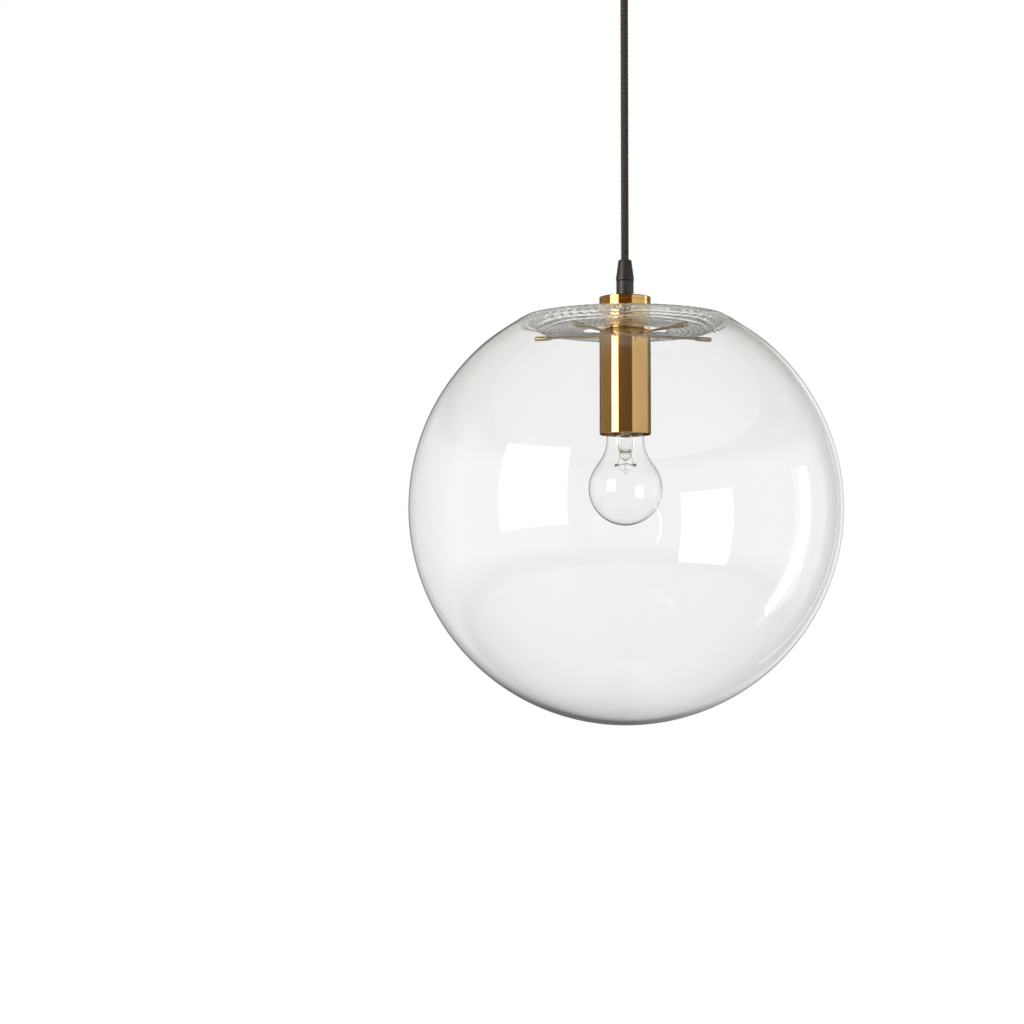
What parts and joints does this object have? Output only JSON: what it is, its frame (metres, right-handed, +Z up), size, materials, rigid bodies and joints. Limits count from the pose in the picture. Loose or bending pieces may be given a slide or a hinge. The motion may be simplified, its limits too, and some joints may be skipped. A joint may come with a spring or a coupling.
{
  "type": "pendant ceiling light",
  "caption": "Pendant light with a clear glass globe whose pressed-in top rests on folding arms round a brass lampholder tube, on a textile cord and ceiling canopy.",
  "frame": {"origin": "middle of the mounting bracket's top face, on the ceiling plane", "axes": "+Z up into the ceiling, along the cord; +X along the mounting bracket"},
  "size_m": [0.3499, 0.35, 0.66],
  "materials": {
    "polished_brass": "polished, lacquered",
    "clear_glass": "clear, blown, polished",
    "bulb_clear_glass": "clear",
    "textile_braid": "dark brown and black braid",
    "black_plastic": "satin",
    "phenolic": "moulded",
    "porcelain": "glazed",
    "nickel_plate": "plated",
    "zinc_steel": "zinc plated",
    "lead_brown": "insulation",
    "lead_blue": "insulation",
    "lead_green_yellow": "striped insulation",
    "tungsten": "drawn wire",
    "terminal_white": "moulded"
  },
  "bodies": {
    "hanging_lamp": {"mounting_bracket": "zinc_steel", "terminal_block": "terminal_white", "terminal_inserts": "polished_brass", "terminal_screws": "zinc_steel", "earth_screw": "zinc_steel", "cord_anchor": "black_plastic", "anchor_screw": "zinc_steel", "ceiling_lead_live": "lead_brown", "ceiling_lead_neutral": "lead_blue", "ceiling_lead_earth": "lead_green_yellow", "textile_cord": "textile_braid", "cord_grip_nut": "black_plastic", "cord_grip_body": "black_plastic", "top_cap": "polished_brass", "cap_lock_nut": "zinc_steel", "threaded_rod": "zinc_steel", "body_tube": "polished_brass", "arm_hub": "polished_brass", "hub_lock_nut": "zinc_steel", "arm_pivot_pins": "zinc_steel", "lampholder_cover": "phenolic", "lampholder_core": "porcelain", "lampholder_sleeve": "phenolic", "screw_shell": "nickel_plate", "lampholder_contact": "polished_brass", "lampholder_screws": "zinc_steel", "lamp_lead_live": "lead_brown", "lamp_lead_neutral": "lead_blue", "lamp_lead_earth": "lead_green_yellow"},
    "canopy": {"ceiling_canopy": "polished_brass", "canopy_screws": "polished_brass", "canopy_clamp_nuts": "zinc_steel", "canopy_grip_body": "black_plastic", "canopy_grip_nut": "black_plastic", "canopy_lock_nut": "zinc_steel"},
    "globe": {"globe": "clear_glass"},
    "bulb": {"bulb_glass": "bulb_clear_glass", "bulb_cap": "nickel_plate", "bulb_insulator": "phenolic", "bulb_contact": "nickel_plate", "bulb_stem": "bulb_clear_glass", "bulb_wires": "nickel_plate", "bulb_filament": "tungsten"},
    "arm_1": {"arm_rod_1": "polished_brass", "arm_tip_1": "polished_brass"},
    "arm_2": {"arm_rod_2": "polished_brass", "arm_tip_2": "polished_brass"},
    "arm_3": {"arm_rod_3": "polished_brass", "arm_tip_3": "polished_brass"},
    "arm_4": {"arm_rod_4": "polished_brass", "arm_tip_4": "polished_brass"},
    "arm_5": {"arm_rod_5": "polished_brass", "arm_tip_5": "polished_brass"}
  },
  "joints": [
    {"name": "globe_lift", "type": "slide", "parent": "hanging_lamp", "child": "globe", "axis": [0, 0, 1], "range_m": [0, 0.0804]},
    {"name": "bulb_release", "type": "slide", "parent": "hanging_lamp", "child": "bulb", "axis": [0, 0, -1], "range_m": [0, 0.03]},
    {"name": "canopy_drop", "type": "slide", "parent": "hanging_lamp", "child": "canopy", "axis": [0, 0, -1], "range_m": [0, 0.06]},
    {"name": "arm_1_fold", "type": "hinge", "parent": "hanging_lamp", "child": "arm_1", "pos_m": [0.01215, -0.01448, -0.3443], "axis": [-0.766, -0.6428, 0], "range_deg": [0, 80]},
    {"name": "arm_2_fold", "type": "hinge", "parent": "hanging_lamp", "child": "arm_2", "pos_m": [0.01752, 0.00708, -0.3443], "axis": [0.3746, -0.9272, 0], "range_deg": [0, 80]},
    {"name": "arm_3_fold", "type": "hinge", "parent": "hanging_lamp", "child": "arm_3", "pos_m": [-0.00132, 0.01885, -0.3443], "axis": [0.9976, 0.0698, 0], "range_deg": [0, 80]},
    {"name": "arm_4_fold", "type": "hinge", "parent": "hanging_lamp", "child": "arm_4", "pos_m": [-0.01834, 0.00457, -0.3443], "axis": [0.2419, 0.9703, 0], "range_deg": [0, 80]},
    {"name": "arm_5_fold", "type": "hinge", "parent": "hanging_lamp", "child": "arm_5", "pos_m": [-0.01002, -0.01603, -0.3443], "axis": [-0.848, 0.5299, 0], "range_deg": [0, 80]}
  ],
  "couplings": [
    {"joint": "arm_1_fold", "follows": "globe_lift", "rad_per_m": 17.36},
    {"joint": "arm_2_fold", "follows": "globe_lift", "rad_per_m": 17.36},
    {"joint": "arm_3_fold", "follows": "globe_lift", "rad_per_m": 17.36},
    {"joint": "arm_4_fold", "follows": "globe_lift", "rad_per_m": 17.36},
    {"joint": "arm_5_fold", "follows": "globe_lift", "rad_per_m": 17.36}
  ]
}
